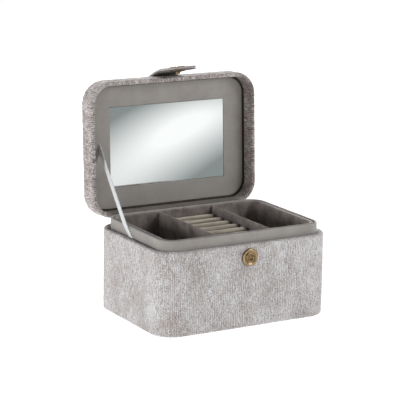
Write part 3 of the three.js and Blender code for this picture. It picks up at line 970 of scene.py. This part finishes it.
def strap_ply(name, slot, line, inner, outer, first, tip_end):
    """One ply of the strap: a flat closed band with rounded edges, along the line.
    It starts at the distance called first from the anchor's end."""
    angles = line_headings(line)
    travel = distances(line)
    half, middle, thick = STRAP_WIDTH / 2, (inner + outer) / 2, (outer - inner) / 2
    soft = min(0.6, thick - 0.02)
    flat = edge_lines(-half, half, soft, 0.45)[4:-4]
    turn = [math.pi / 2 * k / 3 for k in (2, 1, 0, -1, -2)]
    edge = [(half - soft + soft * math.cos(a), thick * math.sin(a)) for a in turn]
    loop = [(x, outer) for x in flat] + [(x, middle + rise) for x, rise in edge]
    loop += [(x, inner) for x in flat[::-1]] + [(-x, middle - rise) for x, rise in edge]
    count = len(loop)
    points, cloth = [], []
    for (y, z), angle, run in zip(line, angles, travel):
        left = travel[-1] - run
        narrow = 1.0
        if tip_end and left < TIP_CORNER:
            bow = math.sqrt(max(0.0, TIP_CORNER ** 2 - (TIP_CORNER - left) ** 2))
            narrow = (half - TIP_CORNER + bow) / half
        thin = min(1.0, 0.9 + left / 2) if tip_end else 1.0
        for x, offset in loop:
            offset = middle + (offset - middle) * thin
            points.append((x * narrow, y - offset * math.sin(angle), z + offset * math.cos(angle)))
            cloth.append((x + 60, run + (0 if offset > middle else APART / 3), 0))
    piece = make_object(name, points, ring_faces(len(line), count), cloth=cloth)
    if slot == "chenille":
        add_pile(piece, 0.05, 0.07, 91)
    else:
        add_nap(piece, 0.03, 92)
        run = travel + first
        # Painted shadow on the lining under the strap's arch, fading in and out along it.
        fade_in, fade_out = (run - ARCH_START) / 4, (ARCH_END - run) / 9
        painted_arch_shadow = np.clip(fade_in, 0, 1) * np.clip(fade_out, 0, 1)
        mark(piece, "painted_shade", np.repeat(painted_arch_shadow, count))
    piece.data.transform(LID_OPEN)
    return piece


def stitches(name, line, first, last, offset):
    """Rows of short threads along both edges of the strap, on the face at the offset."""
    pitch, length, thread, sides, rings = 2.6, 1.9, 0.28, 6, 5
    out = math.copysign(1, offset)
    angles = line_headings(line)
    travel = distances(line)
    points, faces = [], []
    for side in (-1, 1):
        for start in np.arange(first, last - length, pitch):
            faces += ring_faces(rings, sides, flip=offset > 0, first=len(points))
            for step in range(rings):
                run = start + length * step / (rings - 1)
                y, z = np.interp(run, travel, line[:, 0]), np.interp(run, travel, line[:, 1])
                angle = np.interp(run, travel, np.unwrap(angles))
                swell = math.sin(math.pi * (step + 0.35) / 4.7)
                for across, rise in circle(thread * swell, sides):
                    lift = offset + rise * out
                    points.append((
                        side * STITCH_LINE + across, y - lift * math.sin(angle), z + lift * math.cos(angle)
                    ))
    piece = make_object(name, points, faces, cloth=points)
    piece.data.transform(LID_OPEN)
    return piece


def closed_to_open(y, z):
    """A point on the strap's middle, moved with the open lid, in metres."""
    return LID_OPEN @ Vector((0, y * MM, z * MM))


def strap():
    line = strap_line()
    travel = distances(line)
    cut = np.searchsorted(travel, travel[-1] - TIP_LENGTH - TONGUE_LENGTH / 2)
    upper, lower = line[:cut + 1], line[cut:]
    sections = (
        ("upper", upper, 0, ("anchor", "root", "tongue"), ("lid", "strap_tongue"),
         (closed_to_open(-49.5, 99), closed_to_open(-61.0, 99))),
        ("end", lower, travel[cut], ("tip",), ("strap_tongue", "strap_tip"),
         [closed_to_open(*(TIP_START + heading(TIP_SLOPE) * along)) for along in (-2.6, 2.6)]),
    )
    plies = (
        ("cover", "chenille", CHENILLE_LID, -STRAP_HALF, PLY_SEAM + 0.05),
        ("lining", "velvet", LINING_VELVET, PLY_SEAM, STRAP_HALF),
    )
    for ply, slot, material, inner, outer in plies:
        for section, part, first, nodes, bodies, bend in sections:
            piece = strap_ply(
                f"strap_{section}_{ply}", slot, part, inner, outer, first, section == "end"
            )
            replaced = [f"strap_{node}_{ply}" for node in nodes]
            finish_piece(piece, slot, None, *replaced, material=material)
            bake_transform(piece)
    ends = {"upper": (2.5, travel[cut]), "end": (travel[cut], travel[-1] - 2)}
    for ply, offset in (("cover", -STRAP_HALF), ("lining", STRAP_HALF)):
        for section, part, first, nodes, bodies, bend in sections:
            piece = stitches(f"stitches_{section}_{ply}", line, *ends[section], offset)
            finish_piece(piece, "velvet", None)
            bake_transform(piece)


strap()

# ---- Brass: snap, hinges and screws ----


def turned(name, profile, place, axis, steps=72, transform=Matrix.Identity(4), top=None):
    """A lathed piece: profile of (radius, height, rounding) from the axis round to the axis,
    or a hollow one, if the profile ends where it starts.
    Where a top is given, the attribute "recess" says how far below it each point lies."""
    path = fillet(profile, 0.08)
    axis = Vector(axis).normalized()
    basis = axis.to_track_quat("Z", "Y").to_matrix().to_4x4()
    points = [(x, y, height) for r, height in path for x, y in circle(max(r, 0.01), steps)]
    move = Matrix.Translation(Vector(place) * MM) @ basis
    faces = ring_faces(len(path), steps, ends=profile[0] != profile[-1])
    piece = make_object(name, points, faces, transform @ move)
    if top is not None:
        mark(piece, "recess", [min(1.0, max(0.0, top - point[2])) for point in points])
    return piece


def snap_socket():
    profile = [
        (0, 0.05), (7.9, 0.05), (7.9, 1.85, 0.9), (6.4, 1.7, 0.6), (4.4, 0.6, 0.5),
        (4.0, 1.35, 0.35), (3.3, 1.45, 0.35), (2.7, 0.15, 0.15),
        (1.5, 0.15, 0.1), (1.2, 0.36, 0.1), (0, 0.4),
    ]
    low, high = box_mm("snap_socket")
    centre = ((low.x + high.x) / 2, -HALF_Y - 0.05, (low.z + high.z) / 2)
    piece = turned("snap_ring", profile, centre, (0, -1, 0), 96, top=1.6)
    finish_piece(piece, "brass", "base", "snap_socket")


def snap_on_strap():
    place = TIP_START + heading(TIP_SLOPE) * STUD_ALONG
    inward = Vector((0, -math.sin(TIP_SLOPE), math.cos(TIP_SLOPE)))
    centre = (0, *place)
    cap = [
        (0, STRAP_HALF - 0.4), (6.9, STRAP_HALF - 0.1), (6.9, STRAP_HALF + 0.75, 0.35),
        (6.1, STRAP_HALF + 0.95, 0.5), (5.4, STRAP_HALF + 0.7, 0.4),
        (4.2, STRAP_HALF + 1.15, 0.8), (0, STRAP_HALF + 1.3),
    ]
    piece = turned("cap_disc", cap, centre, -inward, 72, LID_OPEN, STRAP_HALF + 1.3)
    finish_piece(piece, "brass", "strap_tip", "snap_cap")
    face = STRAP_HALF + 0.1
    stud = [
        (0, STRAP_HALF - 0.3), (6.3, face - 0.1), (6.8, face + 0.35, 0.25), (6.2, face + 0.85, 0.3),
        (2.6, face + 0.85, 0.4), (2.0, face + 1.3, 0.2), (2.25, face + 2.4, 0.3),
        (1.7, face + 3.1, 0.5), (0, face + 3.1),
    ]
    piece = turned("stud_post", stud, centre, inward, 72, LID_OPEN, face + 2.2)
    finish_piece(piece, "brass", "strap_tip", "snap_stud")


def joined(name, parts):
    """One object made of several meshes."""
    for part in parts:
        part.select_set(False)
    with bpy.context.temp_override(
        active_object=parts[0], selected_editable_objects=parts, selected_objects=parts
    ):
        bpy.ops.object.join()
    parts[0].name = name
    return parts[0]


LEAF_HALF = 13
LEAF_THICKNESS = 1
LEAF_NEAR, LEAF_FAR = 3, 15
KNUCKLE_GAP = 0.15
KNUCKLE_RADIUS, BORE_RADIUS, PIN_RADIUS = 2.7, 1.5, 1.25
BEHIND_BACK = HALF_Y + 0.3


def hinge_leaf(side, role, transform):
    """A leaf with its knuckles: one in the middle for the lid, one at each end for the base."""
    pin_low, pin_high = box_mm(f"hinge_pin_{side}")
    axis_y, axis_z = hinge_point.y / MM, hinge_point.z / MM
    centre_x = (pin_low.x + pin_high.x) / 2
    up = 1 if role == "lid" else -1

    def plate(name, start, end, near, far, soft):
        heights = sorted((axis_z + up * near, axis_z + up * far))
        return rounded_block(
            name, (centre_x + start, BEHIND_BACK, heights[0]),
            (centre_x + end, BEHIND_BACK + LEAF_THICKNESS, heights[1]), soft, 3.0, transform,
        )

    parts = [plate("leaf", -LEAF_HALF, LEAF_HALF, LEAF_NEAR, LEAF_FAR, 0.3)]
    inner = LEAF_HALF / 3
    if role == "lid":
        spans = [(-inner + KNUCKLE_GAP, inner - KNUCKLE_GAP)]
    else:
        spans = [(-LEAF_HALF, -inner - KNUCKLE_GAP), (inner + KNUCKLE_GAP, LEAF_HALF)]
    for start, end in spans:
        parts.append(plate("tongue", start, end, 0, LEAF_NEAR + 1, 0.25))
        length = end - start
        profile = [
            (BORE_RADIUS, 0), (KNUCKLE_RADIUS, 0, 0.3), (KNUCKLE_RADIUS, length, 0.3),
            (BORE_RADIUS, length, 0.15), (BORE_RADIUS, 0),
        ]
        place = (centre_x + start, axis_y, axis_z)
        parts.append(turned("knuckle", profile, place, (1, 0, 0), 48, transform))
    piece = joined(f"leaf_{role}_{side}", parts)
    finish_piece(piece, "brass", role, f"hinge_{role}_leaf_{side}")


def hinge_pin(side):
    low, high = box_mm(f"hinge_pin_{side}")
    length = high.x - low.x
    profile = [(0, 0), (PIN_RADIUS, 0, 0.5), (PIN_RADIUS, length, 0.5), (0, length)]
    centre = (low.x, (low.y + high.y) / 2, (low.z + high.z) / 2)
    piece = turned(f"pin_{side}", profile, centre, (1, 0, 0), 40)
    finish_piece(piece, "brass", "base", f"hinge_pin_{side}")


def screw(role, index, transform):
    """A domed screw head with a cross cut into it."""
    low, high = box_mm(f"hinge_pin_{'left' if index < 3 else 'right'}")
    centre_x = (low.x + high.x) / 2 + (-8 if index % 2 else 8)
    height = hinge_point.z / MM + (9 if role == "lid" else -9)
    place = (centre_x, BEHIND_BACK + LEAF_THICKNESS + 0.05, height)
    steps, rings, head = 40, 7, 1.9
    points = [(x, y, 0) for x, y in circle(head, steps)]
    for ring in range(rings):
        radius = head * (1 - ring / rings) ** 0.9
        dome = 0.25 + 0.65 * math.sqrt(max(0, 1 - (radius / head) ** 2))
        for x, y in circle(radius, steps):
            in_cross = min(abs(x), abs(y)) < 0.26 and max(abs(x), abs(y)) < 1.2
            points.append((x, y, dome - (0.45 if in_cross else 0)))
    basis = Vector((0, 1, 0)).to_track_quat("Z", "X").to_matrix().to_4x4()
    piece = make_object(
        f"screw_{role}_{index}", points, ring_faces(rings + 1, steps),
        transform @ Matrix.Translation(Vector(place) * MM) @ basis,
    )
    finish_piece(piece, "brass", role, f"hinge_{role}_screw_{index}")


snap_socket()
snap_on_strap()
for hinge_side in ("left", "right"):
    hinge_leaf(hinge_side, "base", Matrix.Identity(4))
    hinge_leaf(hinge_side, "lid", LID_OPEN)
    hinge_pin(hinge_side)
for screw_index in range(1, 5):
    screw("base", screw_index, Matrix.Identity(4))
    screw("lid", screw_index, LID_OPEN)

# ---- Mirror glass and ribbon ----


def mirror_glass():
    """Glass with its front edges ground off at a slant."""
    front, ground = PANEL_FACE + 0.4, 0.25
    back = front + 1.2
    outline = [
        (0.5, 0.4, 0.1, front), (GLASS_HALF_X - ground, GLASS_HALF_Y - ground, 0.4, front),
        (GLASS_HALF_X, GLASS_HALF_Y, 0.4, front + ground), (GLASS_HALF_X, GLASS_HALF_Y, 0.4, back),
        (0.5, 0.4, 0.1, back),
    ]
    rows = [(half_x, half_y, corner, GLASS_SHIFT, z) for half_x, half_y, corner, z in outline]
    piece = wrapped("mirror_plate", rows, 6.0, 30.0, False)
    piece.data.polygons.foreach_set("use_smooth", [False] * len(piece.data.polygons))
    piece.data.transform(LID_OPEN)
    finish_piece(piece, "mirror", "lid", "mirror_glass")


RIBBON_WIDTH = 8
RIBBON_LENGTH = 100


def ribbon():
    """A satin ribbon between two edge lines, from between shell and collar up to the mirror panel."""
    low, high = box_mm("stay_ribbon")
    low_x, high_x, over_collar = low.x + 0.65, high.x - 0.3, collar_high.z + 0.4
    edges = [
        [
            (low_x, low.y - 2.6 + 7.5 * edge, low.z - 2.2),
            (low_x, low.y + 7.5 * edge, low.z),
            (low_x, low.y + 10.7 + 7.6 * edge, over_collar),
            (high_x, high.y - 0.6 * edge, high.z - 9.5 * edge),
            (high_x + 0.1, high.y + 1.4 - 0.5 * edge, high.z + 0.9 - 9.5 * edge),
        ]
        for edge in (0, 1)
    ]
    rows, columns, thickness = 90, 12, 0.45
    near_panel = [0.981, 0.984, 0.987, 0.993]
    shares = sorted([row / rows for row in range(rows + 1)] + near_panel)
    marks = [0.0, 0.035, 0.15, 0.985, 1.0]
    points, cloth = [], []
    for share in shares:
        front, back = (
            np.array([np.interp(share, marks, column) for column in zip(*edge)]) for edge in edges
        )
        sag = 0.3 * math.sin(math.pi * np.clip((share - marks[2]) / 0.83, 0, 1))
        for k in range(2 * columns):
            upper = k < columns
            place = (k if upper else 2 * columns - 1 - k) / (columns - 1)
            point = front + (back - front) * place
            curl = -0.15 * (1 - (2 * place - 1) ** 2)
            selvedge = 1.0 if 0.08 < place < 0.92 else 1.35
            side = (thickness / 2) * selvedge * (1 if upper else -1)
            points.append((point[0] + side + curl, point[1], point[2] - sag))
            cloth.append((place * RIBBON_WIDTH, share * RIBBON_LENGTH, 0))
    piece = make_object("ribbon", points, ring_faces(len(shares), 2 * columns), cloth=cloth)
    finish_piece(piece, "satin_ribbon", None, "stay_ribbon")
    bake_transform(piece)


mirror_glass()
ribbon()

# ---- Camera, lights and floor ----


def look_from(azimuth, elevation, roll, distance, target, lens):
    camera = bpy.data.objects.new("camera", bpy.data.cameras.new("camera"))
    bpy.context.scene.collection.objects.link(camera)
    a, e, r = (math.radians(x) for x in (azimuth, elevation, roll))
    back = Vector((math.sin(a) * math.cos(e), -math.cos(a) * math.cos(e), math.sin(e)))
    right = (-back).cross(Vector((0, 0, 1))).normalized()
    up = right.cross(-back)
    turned_right = math.cos(r) * right + math.sin(r) * up
    turned_up = math.cos(r) * up - math.sin(r) * right
    basis = Matrix((turned_right, turned_up, back)).transposed().to_4x4()
    camera.matrix_world = Matrix.Translation(Vector(target) + back * distance) @ basis
    camera.data.lens = lens
    camera.data.sensor_width = 36
    camera.data.clip_start, camera.data.clip_end = 0.05, 100
    bpy.context.scene.camera = camera


def soft_light(name, place, target, size, power):
    light = bpy.data.lights.new(name, "AREA")
    light.shape, light.size, light.energy = "DISK", size, power
    made = bpy.data.objects.new(name, light)
    bpy.context.scene.collection.objects.link(made)
    made.location = place
    made.rotation_mode = "QUATERNION"
    made.rotation_quaternion = (Vector(target) - Vector(place)).to_track_quat("-Z", "Y")


def stage_mesh(name, points, faces, material):
    mesh = bpy.data.meshes.new(name)
    mesh.from_pydata(points, [], faces)
    mesh.materials.append(material)
    made = bpy.data.objects.new(name, mesh)
    bpy.context.scene.collection.objects.link(made)
    return made


def studio():
    """A white sweep: a bright floor and walls, a darker ceiling, and four soft lights."""
    world = bpy.data.worlds.new("studio")
    bpy.context.scene.world = world
    world.use_nodes = True
    tree = world.node_tree
    coordinates = tree.nodes.new("ShaderNodeTexCoord")
    split = tree.nodes.new("ShaderNodeSeparateXYZ")
    ramp = tree.nodes.new("ShaderNodeValToRGB")
    tree.links.new(coordinates.outputs["Generated"], split.inputs[0])
    tree.links.new(split.outputs["Z"], ramp.inputs["Fac"])
    tree.links.new(ramp.outputs["Color"], tree.nodes["Background"].inputs["Color"])
    for element, position, grey in zip(ramp.color_ramp.elements, (0.04, 0.32), (1, 0.07)):
        element.position, element.color = position, (grey, grey, grey, 1)
    tree.nodes["Background"].inputs["Strength"].default_value = 1.0
    n = Nodes("floor_white")
    n.set(Base_Color=(0.25, 0.25, 0.25, 1), Roughness=1.0, Specular_IOR_Level=0.0)
    n.set(Emission_Color=(1, 1, 1, 1), Emission_Strength=0.96)
    reach = 12.0
    corners = [(-reach, -reach, 0), (reach, -reach, 0), (reach, reach, 0), (-reach, reach, 0)]
    stage_mesh("floor", corners, [(0, 1, 2, 3)], n.material)
    soft_light("left", (-1.63, 0.02, 0.19), (0, 0, 0.08), 0.8, 18.5)
    soft_light("front", (0.9, -1.45, 0.86), (0, 0, 0.10), 0.9, 12.5)
    soft_light("top", (0.95, -0.35, 1.35), (0, 0, 0.08), 0.6, 8)
    soft_light("back", (0.5, 1.5, 1.25), (0, 0, 0.15), 0.7, 36)


def floor_card():
    """A card flat on the floor where the mirror looks, glowing grey with a white stripe: painted light for the
    mirror's reflection, hidden from the camera.
    """
    near, far = Vector((0.27, -0.604, 0)), Vector((1.413, -2.154, 0))
    along = (far - near).normalized()
    side = Vector((-along.y, along.x, 0))
    rows, across = 12, 24
    points, faces, shade = [], [], []
    above_floor = Vector((0, 0, 0.001))
    for row in range(rows + 1):
        share = row / rows
        half_width = 0.19 + 0.15 * share
        for column in range(across + 1):
            place = 2 * column / across - 1
            points.append(near.lerp(far, share) + side * half_width * place + above_floor)
            shade.append(math.hypot(place, (0.28 + 0.24 * share) * (2 * share - 1)))
    for row in range(rows):
        for column in range(across):
            first = row * (across + 1) + column
            faces.append((first, first + 1, first + across + 2, first + across + 1))
    n = Nodes("striped_card")
    away = n.attribute("away")
    colour = n.ramp(away, [(0.13, (1, 1, 1)), (0.6, (0.25, 0.275, 0.275))])
    n.link(colour, n.shader.inputs["Emission Color"])
    n.set(Base_Color=(0, 0, 0, 1), Specular_IOR_Level=0.0, Emission_Strength=1.06)
    card = stage_mesh("floor_card", points, faces, n.material)
    mark(card, "away", shade)
    card.visible_camera = False


look_from(-30.34, 12.94, 0.9, 1.604, (-0.01457, 0, 0.10464), 160.8)
studio()
floor_card()
bpy.context.scene.view_settings.view_transform = "Standard"

# ---- Carried-over nodes ----

SLOTS = {part["node"]: part["material_slot"] for part in frame["record"]["subparts"]}


def dress_nodes():
    """CAD nodes that stay get their material and a small bevel."""
    for name, node in frame["nodes"].items():
        node.data.materials.clear()
        node.data.materials.append(MATERIALS[SLOTS[name]])
        bevel = node.modifiers.new("soft_edges", "BEVEL")
        bevel.width, bevel.segments, bevel.limit_method = 0.15 * MM, 2, "ANGLE"


dress_nodes()
